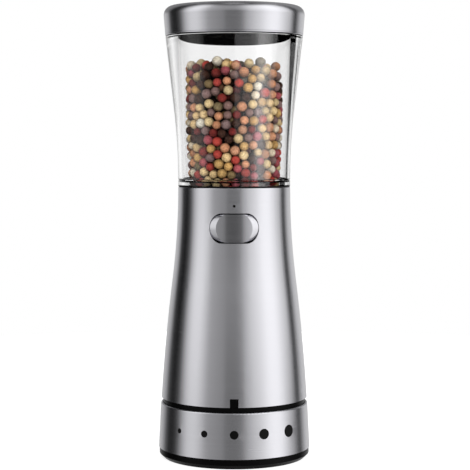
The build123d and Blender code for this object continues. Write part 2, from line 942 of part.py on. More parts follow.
def make_light_pipe():
    head_back = -board_front() - led_depth - seat_gap
    head_front = head_back - light_pipe_head_length
    head = rod_along_y(light_pipe_head_radius, head_front, head_back, 0, indicator_level)
    tip = rod_along_y(indicator_radius - running_gap, -shell_bottom_radius, head_front, 0, indicator_level)
    return head + (tip & flare_solid(0))


# Motor

def make_motor_can():
    can = tube(case_radius, case_radius - can_wall, can_bottom, can_top)
    return can + tube(case_radius, motor_bush_radius + press_gap, can_bottom, can_bottom + can_wall)


def make_motor_plate():
    plate = tube(case_radius, motor_bush_radius + slide_gap, case_top, can_bottom)
    for side in (-1, 1):
        plate -= rod(motor_screw_radius + seat_gap, case_top, can_bottom, side * motor_screw_offset)
    return plate


def make_motor_screws():
    screws = []
    for side in (-1, 1):
        x = side * motor_screw_offset
        head = rod(motor_screw_head_radius, case_top - motor_screw_head_height, case_top, x)
        screws.append(head + rod(motor_screw_radius, case_top, can_bottom, x))
    return screws


def make_motor_bushes():
    bore = motor_shaft_radius + running_gap
    upper_top = can_top + end_bell_thickness
    lower = tube(motor_bush_radius, bore, can_bottom, can_bottom + motor_bush_length)
    upper = tube(motor_bush_radius, bore, upper_top - motor_bush_length, upper_top)
    return [lower, upper]


def make_motor_end_bell():
    bore = motor_bush_radius + press_gap
    plug_radius = case_radius - can_wall - press_gap
    bell = turned(
        (bore, can_top - end_bell_plug),
        (plug_radius, can_top - end_bell_plug),
        (plug_radius, can_top),
        (case_radius, can_top),
        (case_radius, can_top + end_bell_thickness),
        (bore, can_top + end_bell_thickness),
    )
    return bell


def make_motor_terminals():
    bottom = can_top + end_bell_thickness
    half = terminal_width / 2
    tabs = []
    for side in (-1, 1):
        x = side * terminal_offset
        low = (x - half, -terminal_offset - terminal_thickness, bottom)
        tabs.append(block(low, (x + half, -terminal_offset, bottom + terminal_height)))
    return tabs


def make_motor_magnets():
    outer = case_radius - can_wall - press_gap
    bottom = can_bottom + magnet_margin
    top = can_top - end_bell_plug - magnet_margin
    return [
        sector(outer, outer - magnet_thickness, bottom, top, direction, magnet_angle)
        for direction in (0, 180)
    ]


def armature_bottom():
    return can_bottom + motor_bush_length + magnet_margin


def make_armature():
    bottom = armature_bottom()
    core = tube(armature_radius, motor_shaft_radius + press_gap, bottom, bottom + armature_length)
    for direction in spaced(armature_slots):
        low = (armature_radius - slot_depth, -slot_width / 2, bottom)
        high = (case_radius, slot_width / 2, bottom + armature_length)
        core -= Rot(0, 0, direction) * block(low, high)
    return core


def make_commutator():
    bottom = armature_bottom() + armature_length
    return tube(commutator_radius, motor_shaft_radius + press_gap, bottom, bottom + commutator_length)


def make_motor_shaft():
    return rod(motor_shaft_radius, first_gear_bottom, can_top + end_bell_thickness)


# Gearbox

def make_motor_pinion():
    pinion = gear(sun_teeth, first_gear_bottom, first_gear_width)
    return pinion - rod(motor_shaft_radius + press_gap, first_gear_bottom, case_top)


def make_planet(direction, bottom, width):
    bore = pin_radius + running_gap
    blank = gear(planet_teeth, bottom, width) - rod(bore, bottom, bottom + width)
    half_tooth = 0.5 - direction * sun_teeth / 360
    turn = direction + 180 - 360 / planet_teeth * half_tooth
    x, y = polar(planet_circle, direction)
    return Pos(x, y, 0) * (Rot(0, 0, turn) * blank)


def make_carrier(bottom, pin_top):
    carrier = rod(carrier_radius, bottom, bottom + carrier_thickness)
    for direction in spaced(planet_count):
        x, y = polar(planet_circle, direction)
        carrier += rod(pin_radius, bottom, pin_top, x, y)
    return carrier


def make_first_carrier():
    """First stage's planet carrier with the second stage's sun gear under it."""
    carrier = make_carrier(first_carrier_bottom, first_gear_bottom + first_gear_width)
    sun_bottom = second_gear_bottom - axial_play / 2
    return carrier + gear(sun_teeth, sun_bottom, first_carrier_bottom - sun_bottom)


def square_bar(width, bottom, top):
    half = width / 2
    return block((-half, -half, bottom), (half, half, top))


def make_output_carrier():
    """Second stage's planet carrier with the square socket for the drive shaft."""
    carrier = make_carrier(second_carrier_bottom, second_gear_bottom + second_gear_width)
    carrier += rod(output_hub_radius, hub_bottom, second_carrier_bottom)
    return carrier - square_bar(shaft_width + 2 * seat_gap, hub_bottom, second_carrier_bottom)


def make_gearbox_case():
    case = rod(case_radius, lower_deck_top, case_top)
    face = gear_face(ring_teeth, tooth_dedendum, tooth_addendum, tooth_thinning)
    case -= Pos(0, 0, gear_floor) * extrude(face, case_top - gear_floor)
    return case - rod(output_hub_radius + bush_wall, lower_deck_top, gear_floor)


def make_output_bush():
    outer = output_hub_radius + bush_wall - press_gap
    return tube(outer, output_hub_radius + running_gap, lower_deck_top, gear_floor)


# Grinder

def make_drive_shaft():
    shaft = square_bar(shaft_width, cone_bottom, second_carrier_bottom)
    return shaft - rod(burr_screw_radius, cone_bottom, cone_bottom + burr_screw_length)


def make_burr_cone():
    skirt_top = cone_bottom + cone_skirt
    skirt_top_radius = cone_radius - burr_taper * cone_skirt
    cone = turned(
        (0, cone_bottom),
        (cone_radius, cone_bottom),
        (skirt_top_radius, skirt_top),
        (cone_top_radius, cone_top),
        (0, cone_top),
    )
    rise = cone_top - skirt_top
    run = skirt_top_radius - cone_top_radius
    slope = Vector(-run, 0, rise)
    across = Vector(0, 1, 0).rotate(Axis((0, 0, 0), (rise, 0, run)), flute_slant)
    along = slope.rotate(Axis((0, 0, 0), (rise, 0, run)), flute_slant)
    start = Vector(skirt_top_radius, 0, skirt_top) - along * flute_start
    notch = Polyline((-flute_depth, flute_depth), (0, -flute_depth), (flute_depth, flute_depth), close=True)
    place = Plane(origin=start, x_dir=across, z_dir=along)
    flute = extrude(place * make_face(notch), slope.length * flute_length)
    for direction in spaced(flute_count):
        cone -= Rot(0, 0, direction) * flute
    return cone - square_bar(shaft_width + 2 * seat_gap, cone_bottom, cone_top)


def make_burr_washer():
    return tube(washer_radius, burr_screw_radius + seat_gap, cone_bottom - washer_thickness, cone_bottom)


def make_burr_screw():
    head_top = cone_bottom - washer_thickness
    head = rod(burr_screw_head_radius, head_top - burr_screw_head_height, head_top)
    end = cone_bottom + burr_screw_length
    return head + rod(burr_screw_radius - press_gap, head_top, end)


def make_burr_spring():
    """Spring round the shaft that presses the burr down."""
    inner = shaft_width / math.sqrt(2) + fit_gap
    length = hub_bottom - cone_top
    spring = coil_spring(inner + burr_spring_wire, burr_spring_wire, burr_spring_turns, length)
    return Pos(0, 0, cone_top) * spring


def make_burr_ring():
    bottom = holder_bottom + holder_lip
    top = bottom + burr_ring_height
    narrow = burr_tip_radius - burr_taper * burr_ring_height / 2
    ring = turned(
        (burr_tip_radius, bottom),
        (burr_ring_radius, bottom),
        (burr_ring_radius, top),
        (burr_tip_radius + burr_ring_flare, top),
        (narrow, (bottom + top) / 2),
    )
    notch = Polyline(
        (narrow - burr_groove, -burr_groove),
        (burr_tip_radius + burr_groove, 0),
        (narrow - burr_groove, burr_groove),
        close=True,
    )
    groove = Pos(0, 0, bottom) * extrude(make_face(notch), burr_ring_height)
    for direction in spaced(burr_ring_teeth):
        ring -= Rot(0, 0, direction) * groove
    return ring


def make_burr_holder():
    """Keyed cup that carries the burr ring up and down inside the adjuster's hub."""
    top = throat_bottom + key_height + axial_play
    lip = burr_ring_radius - moulding_wall
    holder = turned(
        (lip, holder_bottom),
        (holder_radius, holder_bottom),
        (holder_radius, top),
        (holder_bore, top),
        (holder_bore, holder_bottom + holder_lip),
        (lip, holder_bottom + holder_lip),
    )
    for direction in spaced(key_count, key_start_angle):
        inner = throat_radius + fit_gap
        outer = holder_bore + holder_wall / 2
        key = block((inner, -key_width / 2, top - key_height), (outer, key_width / 2, top))
        holder += Rot(0, 0, direction) * key
    return holder


# Adjuster

def make_adjuster_sleeve():
    sleeve = sleeve_solid(0) - sleeve_solid(sleeve_wall)
    top_edge = sleeve.edges().group_by(Axis.Z)[-1].sort_by(SortBy.RADIUS)[-1]
    sleeve = fillet(top_edge, sleeve_edge_share * sleeve_wall)
    for hole in dot_rods(0):
        sleeve -= hole
    return sleeve


def dot_rods(inset):
    """Radial rods through the sleeve, one for each setting dot."""
    middle = (dot_count - 1) / 2
    level = sleeve_bottom + dot_height
    rods = []
    for i in range(dot_count):
        radius = (smallest_dot + dot_growth * i) / 2 - inset
        straight = rod_along_y(radius, -sleeve_bottom_radius, -sleeve_top_radius / 2, 0, level)
        rods.append(Rot(0, 0, (i - middle) * dot_step_angle) * straight)
    return rods


def make_setting_dots():
    wall = sleeve_solid(0) - sleeve_solid(sleeve_wall)
    return [dot & wall for dot in dot_rods(running_gap)]


def make_adjuster_core():
    wall_top = sleeve_top - slide_gap
    hub_top = plate_top + seat_gap + 2 * ring_thickness
    groove_bottom = plate_top + seat_gap
    groove_top = groove_bottom + ring_thickness
    floor_top = core_floor_height + core_floor
    outer_bottom = sleeve_bottom_radius - sleeve_wall - running_gap
    outer_top = sleeve_top_radius - sleeve_wall - running_gap
    return turned(
        (hub_bore, core_floor_height),
        (foot_floor_radius, core_floor_height),
        (foot_floor_radius, foot_height),
        (outer_bottom, foot_height),
        (outer_top, wall_top),
        (outer_top - core_wall, wall_top),
        (outer_bottom - core_wall, floor_top),
        (hub_radius, floor_top),
        (hub_radius, groove_bottom),
        (hub_radius - ring_groove, groove_bottom),
        (hub_radius - ring_groove, groove_top),
        (hub_radius, groove_top),
        (hub_radius, hub_top),
        (hub_bore, hub_top),
    )


def make_retaining_ring():
    bottom = plate_top + seat_gap
    inner = hub_radius - ring_groove + press_gap
    ring = tube(inner + ring_width, inner, bottom, bottom + ring_thickness - press_gap)
    half = ring_width / 2
    gap = block((0, -half, bottom), (hub_radius + ring_width, half, bottom + ring_thickness))
    return ring - Rot(0, 0, 90) * gap


def make_foot_ring():
    floor = core_floor_height - seat_gap / 2
    outline = Polyline(
        (foot_lip_radius, 0),
        (foot_floor_radius, 0),
        (foot_radius, foot_radius - foot_floor_radius),
        (foot_radius, foot_height - seat_gap / 2),
        (foot_floor_radius + seat_gap, foot_height - seat_gap / 2),
        (foot_floor_radius + seat_gap, floor),
        (foot_lip_radius, floor),
        close=True,
    )
    return revolve(Plane.XZ * make_face(outline), Axis.Z)


def make_planets():
    planets = {}
    for i, direction in enumerate(spaced(planet_count), start=1):
        planets[f"first_planet_{i}"] = make_planet(direction, first_gear_bottom, first_gear_width)
        planets[f"second_planet_{i}"] = make_planet(direction, second_gear_bottom, second_gear_width)
    return planets


def make_cells():
    places = cell_places()
    return {f"cell_{i + 1}": make_cell(place, i % 2 == 0) for i, place in enumerate(places)}


def make_all():
    nodes = {
        "lid_cap": make_lid_cap(),
        "lid_liner": make_lid_liner(),
        "lid_seal": make_lid_seal(),
        "container": make_container(),
        "container_ring": make_container_ring(),
        "neck_ring": make_neck_ring(),
        "container_seal": make_container_seal(),
        "body_shell": make_body_shell(),
        "index_collar": make_index_collar(),
        "throat_funnel": make_throat_funnel(),
        "chassis": make_chassis(),
        "chassis_screws": make_chassis_screws(),
        "hopper": make_hopper(),
        "battery_cover": make_battery_cover(),
        "battery_contacts": make_upper_contacts() + make_lower_contacts(),
        "wiring": make_supply_leads() + make_motor_leads(),
        "circuit_board": make_circuit_board(),
        "board_screws": make_board_screws(),
        "switch_body": make_switch_body(),
        "switch_plunger": make_switch_plunger(),
        "button_cap": make_button_cap(),
        "button_springs": make_button_springs(),
        "indicator_led": make_indicator_led(),
        "light_pipe": make_light_pipe(),
        "motor_can": make_motor_can(),
        "motor_plate": make_motor_plate(),
        "motor_screws": make_motor_screws(),
        "motor_bushes": make_motor_bushes(),
        "motor_end_bell": make_motor_end_bell(),
        "motor_terminals": make_motor_terminals(),
        "motor_magnets": make_motor_magnets(),
        "motor_shaft": make_motor_shaft(),
        "armature": make_armature(),
        "commutator": make_commutator(),
        "motor_pinion": make_motor_pinion(),
        "first_carrier": make_first_carrier(),
        "output_carrier": make_output_carrier(),
        "gearbox_case": make_gearbox_case(),
        "output_bush": make_output_bush(),
        "drive_shaft": make_drive_shaft(),
        "burr_cone": make_burr_cone(),
        "burr_spring": make_burr_spring(),
        "burr_washer": make_burr_washer(),
        "burr_screw": make_burr_screw(),
        "burr_ring": make_burr_ring(),
        "burr_holder": make_burr_holder(),
        "adjuster_sleeve": make_adjuster_sleeve(),
        "setting_dots": make_setting_dots(),
        "adjuster_core": make_adjuster_core(),
        "retaining_ring": make_retaining_ring(),
        "foot_ring": make_foot_ring(),
    }
    nodes.update(make_planets())
    nodes.update(make_cells())
    return nodes


def main():
    os.makedirs("parts", exist_ok=True)
    for name, shape in make_all().items():
        solids = shape if isinstance(shape, list) else [shape]
        group = solids[0] if len(solids) == 1 else Compound(children=solids)
        export_step(group, f"parts/{name}.step")


main()
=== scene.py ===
import json
import math
import bmesh
import bpy
import numpy as np
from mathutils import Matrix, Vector, noise


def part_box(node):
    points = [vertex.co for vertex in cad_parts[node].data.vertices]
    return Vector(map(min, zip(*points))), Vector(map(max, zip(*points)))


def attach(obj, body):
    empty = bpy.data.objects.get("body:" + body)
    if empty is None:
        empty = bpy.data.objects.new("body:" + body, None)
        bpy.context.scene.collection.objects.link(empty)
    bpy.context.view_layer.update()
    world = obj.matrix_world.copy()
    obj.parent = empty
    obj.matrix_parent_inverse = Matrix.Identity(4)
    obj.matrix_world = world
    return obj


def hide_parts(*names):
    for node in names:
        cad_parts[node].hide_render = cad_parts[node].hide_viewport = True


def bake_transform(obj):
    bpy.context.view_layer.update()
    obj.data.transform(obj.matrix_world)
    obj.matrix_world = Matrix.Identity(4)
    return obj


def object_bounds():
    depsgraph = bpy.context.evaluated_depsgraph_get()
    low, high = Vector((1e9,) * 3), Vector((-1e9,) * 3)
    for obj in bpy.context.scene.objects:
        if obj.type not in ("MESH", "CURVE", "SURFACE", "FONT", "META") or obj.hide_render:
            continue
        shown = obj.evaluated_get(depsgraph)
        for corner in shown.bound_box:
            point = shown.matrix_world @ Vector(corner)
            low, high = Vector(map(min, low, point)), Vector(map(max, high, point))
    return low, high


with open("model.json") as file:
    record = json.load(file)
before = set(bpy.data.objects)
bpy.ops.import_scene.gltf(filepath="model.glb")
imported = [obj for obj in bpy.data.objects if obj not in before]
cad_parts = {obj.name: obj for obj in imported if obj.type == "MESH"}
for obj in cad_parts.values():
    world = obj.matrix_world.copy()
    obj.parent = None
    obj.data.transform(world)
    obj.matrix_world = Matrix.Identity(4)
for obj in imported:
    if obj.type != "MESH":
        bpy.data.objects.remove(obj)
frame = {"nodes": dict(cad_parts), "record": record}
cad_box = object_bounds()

# Looks of the electric pepper mill: materials for every CAD node, the peppercorns in the container,
# a copy of the button's springs, and the studio. Metres, in the CAD frame: +Z up, the button
# faces -Y.

# Camera, placed from the photograph
camera_place = (0.00036, -0.6917, 0.1426)
camera_tilt = 86.42
camera_lens = 118.53
camera_sensor = 36.0

# Studio seen in reflections, as (direction in degrees from the camera's side, brightness), left negative.
# Soft panels and dark flags for the brushed steel.
steel_ring = [
    (-180, 0.60),
    (-165, 0.60),
    (-150, 0.58),
    (-138, 0.46),
    (-128, 0.04),
    (-110, 0.0),
    (-98, 0.10),
    (-86, 0.70),
    (-76, 0.97),
    (-62, 0.97),
    (-52, 0.74),
    (-42, 0.44),
    (-20, 0.33),
    (4, 0.31),
    (16, 0.50),
    (28, 0.80),
    (45, 1.02),
    (60, 1.24),
    (76, 1.25),
    (90, 1.0),
    (104, 0.80),
    (111, 0.30),
    (116, 0.03),
    (121, 0.03),
    (130, 0.42),
    (140, 0.66),
    (155, 0.68),
    (180, 0.60),
]
# The same ring below the horizon, where the flags are wider
low_ring = [
    (-180, 0.60),
    (-165, 0.60),
    (-150, 0.50),
    (-140, 0.35),
    (-130, 0.10),
    (-120, 0.02),
    (-106, 0.02),
    (-98, 0.06),
    (-88, 0.30),
    (-78, 0.58),
    (-65, 0.62),
    (-55, 0.48),
    (-45, 0.28),
    (-20, 0.22),
    (8, 0.20),
    (16, 0.26),
    (28, 0.42),
    (45, 0.70),
    (55, 0.98),
    (65, 1.12),
    (76, 1.10),
    (85, 0.82),
    (95, 0.48),
    (105, 0.24),
    (118, 0.06),
    (124, 0.10),
    (132, 0.36),
    (142, 0.60),
    (155, 0.64),
    (180, 0.60),
]
# The same panels with crisp edges, for the clear walls
glass_ring = [
    (-180, 0.5),
    (-168, 0.8),
    (-150, 1.05),
    (-140, 0.8),
    (-128, 0.55),
    (-118, 0.05),
    (-100, 0.05),
    (-91, 0.5),
    (-62, 0.5),
    (-58, 0.02),
    (0, 0.02),
    (2, 0.6),
    (30, 0.85),
    (40, 1.4),
    (48, 3.2),
    (58, 3.2),
    (66, 1.9),
    (76, 1.6),
    (79, 0.0),
    (147, 0.0),
    (152, 1.0),
    (168, 0.8),
    (180, 0.5),
]

# Heights and depths in the studio are the upward and backward parts of a unit direction. A pair of them
# says where a change starts and where it is complete.
# The ring below the horizon takes over here
low_height = (-0.02, -0.12)
# Dark ceiling, round a paler patch straight above
ceiling_level = 0.07
ceiling_height = (0.80, 0.93)
zenith_level = 0.35
zenith_height = (0.978, 0.99)
# Panels grow brighter overhead
overhead_gain = 1.12
overhead_height = (0.05, 0.5)
# The soft panels are dark behind the mill, and this is what is left of them there
back_level = 0.38
back_height = (0.07, 0.18)
back_depth = (0.1, 0.5)
# Dark screen that the camera looks through: its brightness, its half width and half height, each from
# full depth to rim, and the height of its middle
screen_level = 0.15
screen_width = (0.22, 0.30)
screen_height = (0.05, 0.10)
screen_middle = -0.045
# Share of the ring's light that falls on surfaces, beside that of the lamps
ring_light = 0.3

# Lamps: place, width, power, and the part of the mill's height that they are turned to
lamp_front = ((0.14, -1.1, 0.42), 0.4, 11.0)
lamp_top = ((-0.15, 0.1, 1.2), 0.8, 3.0)
lamp_back = ((-0.2, 1.0, 0.42), 0.4, 6.0)
lamp_aim = 0.6

# Floor: its round, how far it lies under the foot, its grey for the light that it sends up, and its own
# glow and its grey in the picture, which together are white out of the shadow
floor_radius = 0.45
floor_corners = 96
floor_gap = 0.0002
floor_grey = 0.8
floor_glow = 0.86
floor_shade = 0.45

# Brush lines in steel, as repeats in a metre round the axis and across the lines
fine_brush = (30.0, 4200.0)
broad_brush = (14.0, 1300.0)
fine_share = 0.5
brush_contrast = 0.02
brush_unevenness = 0.028
brush_span = (0.32, 0.68)
# Steel is a little cooler than grey
steel_tint = (1.005, 1.0, 1.05)
# Clear acrylic, and what it lets through of the lamps' light
acrylic_index = 1.49
acrylic_pass = (0.96, 0.96, 0.965, 1.0)
# Opaque dark bands painted on the clear acrylic, as (from level, to level, within radius): where tumbler and
# ring meet inside, and the ring's foot
tumbler_lines = [(0.1240, 0.1247, 0.0245)]
ring_lines = [(0.1231, 0.1245, 0.0225), (0.1210, 0.1217, 0.0300)]
line_colour = (0.008, 0.007, 0.007, 1.0)

# Peppercorns: how many, smallest and largest radius, seed, and the heights between which they start
corn_count = 1255
corn_low = 0.00185
corn_high = 0.00235
corn_seed = 19
corn_floor = 0.1174
corn_top = 0.185
# Radius that the corns fill: in the ring, just over it, and from the bend up
column_levels = [0.1240, 0.1255, 0.1480]
column_radii = [0.0203, 0.0206, 0.0218]
# How they settle: steps, calm steps at the end, drop and outward pull in a step, how near the wall the
# pull acts, steps between two looks for pairs, how far apart a pair may lie, the share of an overlap
# that a push takes up, and a length that is next to nothing
corn_steps = 500
corn_calm = 150
corn_drop = 0.00006
corn_pull = 0.00012
pull_reach = 1.5 * corn_low
pair_wait = 6
pair_margin = 0.0008
push_share = 0.4
tiny = 1e-9
# Corns show where they lie this near the wall or the top, and are glimpsed a little deeper. The top is the
# mean height of so many of the highest corns.
seen_depth = 0.6 * corn_low
glimpsed_depth = 2.2 * corn_low
top_depth = 2.6 * corn_high
top_number = 40
# Painted shade on the corns: those behind the first layer are darkened in their tint for the shadow they lie
# in, and so is the side of each corn that is turned to its neighbours
glimpsed_shade_share = 0.18
neighbour_shade_share = 0.36
# Lumps on a ball of radius one: repeats, step of the pattern from corn to corn, and depth. Then the
# radius that they go in and out from.
broad_lumps = (1.6, (3.1, 0, 0), 0.05)
fine_lumps = (4.5, (0, 2.3, 0), 0.02)
lump_middle = 0.975
# Share of the corns, tint and how wrinkled each kind is
corn_kinds = [
    (0.17, (0.86, 0.64, 0.33), 0.2),
    (0.14, (0.72, 0.44, 0.16), 0.25),
    (0.09, (0.90, 0.82, 0.65), 0.6),
    (0.15, (0.74, 0.36, 0.20), 0.25),
    (0.07, (0.50, 0.070, 0.055), 0.3),
    (0.10, (0.50, 0.12, 0.145), 0.3),
    (0.08, (0.23, 0.03, 0.025), 0.4),
    (0.10, (0.29, 0.185, 0.17), 0.5),
    (0.03, (0.24, 0.18, 0.09), 0.5),
    (0.08, (0.06, 0.026, 0.017), 1.0),
]
# Painted shade: corns deep in the heap all get this dark tint for the shadow they lie in, whatever their kind
hidden_shade_tint = (0.06, 0.022, 0.014, 1.0)
# Least and most of a corn's own shade and warmth
corn_shade = (0.80, 1.15)
corn_warmth = (0.94, 1.06)

# Where most values of a noise texture lie, the span of a share, and plain white
noise_span = (0.3, 0.7)
whole = (0.0, 1.0)
white = (1.0, 1.0, 1.0, 1.0)


def grey(level):
    return (level, level, level)


class Nodes:
    """A node tree, with short ways to add and join nodes."""

    def __init__(self, tree):
        self.tree = tree
        self.tree.nodes.clear()
        self.coords = self.add("ShaderNodeTexCoord")

    def add(self, kind, **settings):
        node = self.tree.nodes.new(kind)
        for key, value in settings.items():
            setattr(node, key, value)
        return node

    def join(self, source, target):
        self.tree.links.new(source, target)

    def fill(self, socket, value):
        """Sets a plain value on a socket, or joins a node's output to it."""
        if isinstance(value, bpy.types.NodeSocket):
            self.join(value, socket)
        else:
            socket.default_value = value

    def split(self, vector):
        node = self.add("ShaderNodeSeparateXYZ")
        self.join(vector, node.inputs["Vector"])
        return node.outputs

    def combine(self, **parts):
        """A vector of the parts given, zero in the others."""
        node = self.add("ShaderNodeCombineXYZ")
        for key, value in parts.items():
            self.join(value, node.inputs[key])
        return node.outputs["Vector"]

    def math(self, operation, first, second=0.0):
        node = self.add("ShaderNodeMath", operation=operation)
        self.fill(node.inputs[0], first)
        self.fill(node.inputs[1], second)
        return node.outputs[0]

    def spread(self, value, low, high, span=noise_span):
        """A value carried from a span of its own to a range from low to high."""
        node = self.add("ShaderNodeMapRange")
        node.inputs["From Min"].default_value, node.inputs["From Max"].default_value = span
        self.fill(node.inputs["To Min"], low)
        self.fill(node.inputs["To Max"], high)
        self.join(value, node.inputs["Value"])
        return node.outputs["Result"]

    def blend(self, share, first, second, blend_type="MIX"):
        """Two colours mixed by a share, or multiplied. The numbers are those of the node's colour sockets."""
        node = self.add("ShaderNodeMix", data_type="RGBA", blend_type=blend_type)
        self.fill(node.inputs[0], share)
        self.fill(node.inputs[6], first)
        self.fill(node.inputs[7], second)
        return node.outputs[2]

    def ramp(self, value, stops, interpolation="LINEAR"):
        node = self.add("ShaderNodeValToRGB")
        node.color_ramp.interpolation = interpolation
        elements = node.color_ramp.elements
        while len(elements) < len(stops):
            elements.new(0.5)
        for element, (place, colour) in zip(elements, stops):
            element.position = place
            element.color = (*colour, 1.0)
        self.join(value, node.inputs["Fac"])
        return node.outputs["Color"]

    def shades(self, value, dark, pale, span=noise_span):
        """A colour from dark to pale over a span of the value."""
        return self.ramp(value, list(zip(span, (dark, pale))))

    def either(self, share, first, second):
        """Two shaders mixed by a share."""
        node = self.add("ShaderNodeMixShader")
        self.fill(node.inputs[0], share)
        self.join(first, node.inputs[1])
        self.join(second, node.inputs[2])
        return node.outputs["Shader"]


class Paint(Nodes):
    """A new node material."""

    def __init__(self, name):
        self.material = bpy.data.materials.new(name)
        self.material.use_nodes = True
        super().__init__(self.material.node_tree)

    def place(self, scale=(1, 1, 1)):
        """Object coordinates, scaled along each axis."""
        mapping = self.add("ShaderNodeMapping")
        mapping.inputs["Scale"].default_value = scale
        self.join(self.coords.outputs["Object"], mapping.inputs["Vector"])
        return mapping.outputs["Vector"]

    def cloud(self, vector, scale, detail=3.0, roughness=0.55):
        texture = self.add("ShaderNodeTexNoise")
        texture.inputs["Scale"].default_value = scale
        texture.inputs["Detail"].default_value = detail
        texture.inputs["Roughness"].default_value = roughness
        self.join(vector, texture.inputs["Vector"])
        return texture.outputs["Fac"]

    def cells(self, vector, scale, feature="F1", output="Distance"):
        texture = self.add("ShaderNodeTexVoronoi", feature=feature)
        texture.inputs["Scale"].default_value = scale
        self.join(vector, texture.inputs["Vector"])
        return texture.outputs[output]

    def bump(self, height, strength, distance):
        node = self.add("ShaderNodeBump")
        node.inputs["Strength"].default_value = strength
        node.inputs["Distance"].default_value = distance
        self.join(height, node.inputs["Height"])
        return node.outputs["Normal"]

    def surface(self, **values):
        """A Principled shader. Plain numbers are set on its sockets, node outputs are joined to them."""
        shader = self.add("ShaderNodeBsdfPrincipled")
        for key, value in values.items():
            self.fill(shader.inputs[key.replace("_", " ")], value)
        return shader.outputs["BSDF"]

    def done(self, shader):
        output = self.add("ShaderNodeOutputMaterial")
        self.join(shader, output.inputs["Surface"])
        return self.material


# Materials

def brush_lines(paint, along, across):
    """Noise drawn out into fine lines round the axis, even on walls, corners and flat tops alike."""
    split = paint.split(paint.coords.outputs["Object"])
    radius = paint.add("ShaderNodeVectorMath", operation="LENGTH")
    paint.join(paint.combine(X=split["X"], Y=split["Y"]), radius.inputs[0])
    level = paint.math("SUBTRACT", split["Z"], radius.outputs["Value"])
    drawn_out = paint.combine(
        X=paint.math("MULTIPLY", split["X"], along),
        Y=paint.math("MULTIPLY", split["Y"], along),
        Z=paint.math("MULTIPLY", level, across),
    )
    return paint.cloud(drawn_out, scale=1.0, detail=4.0, roughness=0.6)


def brushed_steel(name, light, roughness, stretch):
    """Steel with fine brush lines round the axis. Stretch says how far its highlights spread across them."""
    paint = Paint(name)
    fine = paint.math("MULTIPLY", brush_lines(paint, *fine_brush), fine_share)
    broad = paint.math("MULTIPLY", brush_lines(paint, *broad_brush), 1 - fine_share)
    lines = paint.math("ADD", fine, broad)
    dark_steel = [part * light * (1 - brush_contrast) for part in steel_tint]
    pale_steel = [part * light * (1 + brush_contrast) for part in steel_tint]
    tangent = paint.add("ShaderNodeTangent", direction_type="RADIAL", axis="Z")
    shader = paint.surface(
        Base_Color=paint.shades(lines, dark_steel, pale_steel, brush_span),
        Metallic=1.0,
        Roughness=paint.spread(lines, roughness - brush_unevenness, roughness + brush_unevenness),
        Anisotropic=stretch,
        Anisotropic_Rotation=0.25,
        Tangent=tangent.outputs["Tangent"],
    )
    return paint.done(shader)


def dark_share(paint, lines):
    """One on a piece's dark lines, zero beside them. Each lies between two levels, within a radius."""
    split = paint.split(paint.coords.outputs["Object"])
    square = paint.math("ADD", paint.math("POWER", split["X"], 2.0), paint.math("POWER", split["Y"], 2.0))
    share = 0.0
    for low, high, reach in lines:
        within = paint.math("LESS_THAN", square, reach ** 2)
        above = paint.math("GREATER_THAN", split["Z"], low)
        below = paint.math("LESS_THAN", split["Z"], high)
        line = paint.math("MULTIPLY", within, paint.math("MULTIPLY", above, below))
        share = paint.math("MAXIMUM", line, share)
    return share


def clear_plastic(name, lines=()):
    """Clear acrylic that lets lamp light through to what it holds, with opaque dark bands painted at the
    given levels.
    """
    paint = Paint(name)
    haze = paint.cloud(paint.place(), scale=90.0, detail=2.0)
    glass = paint.surface(
        Base_Color=white,
        Roughness=0.0,
        IOR=acrylic_index,
        Transmission_Weight=1.0,
        Normal=paint.bump(haze, strength=0.01, distance=0.0002),
    )
    open_air = paint.add("ShaderNodeBsdfTransparent")
    open_air.inputs["Color"].default_value = acrylic_pass
    rays = paint.add("ShaderNodeLightPath").outputs
    through = paint.math("MAXIMUM", rays["Is Shadow Ray"], rays["Is Diffuse Ray"])
    clear = paint.either(through, glass, open_air.outputs["BSDF"])
    dark = paint.surface(Base_Color=line_colour, Roughness=0.5, Specular_IOR_Level=0.1)
    return paint.done(paint.either(dark_share(paint, lines), clear, dark))


def smoked_plastic(name):
    """Dark window over the indicator lamp."""
    paint = Paint(name)
    haze = paint.cloud(paint.place(), scale=2500.0)
    colour = paint.shades(haze, (0.003, 0.003, 0.003), (0.007, 0.006, 0.006))
    return paint.done(paint.surface(Base_Color=colour, Roughness=0.18, Specular_IOR_Level=0.2))


def moulded_plastic(name, dark, pale, roughness, grain, shine=0.5):
    paint = Paint(name)
    grain_field = paint.cloud(paint.place(), scale=grain)
    drift = paint.cloud(paint.place(), scale=45.0, detail=2.0)
    shader = paint.surface(
        Base_Color=paint.shades(drift, dark, pale),
        Roughness=paint.spread(grain_field, roughness - 0.05, roughness + 0.06),
        Specular_IOR_Level=shine,
        Normal=paint.bump(grain_field, strength=0.12, distance=0.00004),
    )
    return paint.done(shader)


def plain_metal(name, dark, pale, roughness, grain):
    paint = Paint(name)
    mottle = paint.cloud(paint.place(), scale=grain, detail=4.0, roughness=0.6)
    shader = paint.surface(
        Base_Color=paint.shades(mottle, dark, pale),
        Metallic=1.0,
        Roughness=paint.spread(mottle, roughness - 0.07, roughness + 0.09),
        Normal=paint.bump(mottle, strength=0.1, distance=0.00003),
    )
    return paint.done(shader)


def zinc_plate(name):
    """Plated motor can with a faint crystal pattern."""
    paint = Paint(name)
    patches = paint.cells(paint.place(), scale=420.0, output="Color")
    pale_share = paint.add("ShaderNodeRGBToBW")
    paint.join(patches, pale_share.inputs["Color"])
    value = pale_share.outputs["Val"]
    span = (0.2, 0.8)
    shader = paint.surface(
        Base_Color=paint.shades(value, (0.44, 0.45, 0.46), (0.56, 0.57, 0.58), span),
        Metallic=1.0,
        Roughness=paint.spread(value, 0.24, 0.4, span),
    )
    return paint.done(shader)


def rubber(name, dark, pale):
    paint = Paint(name)
    grain = paint.cloud(paint.place(), scale=1400.0)
    shader = paint.surface(
        Base_Color=paint.shades(grain, dark, pale),
        Roughness=0.62,
        Sheen_Weight=0.15,
        Normal=paint.bump(grain, strength=0.2, distance=0.00005),
    )
    return paint.done(shader)


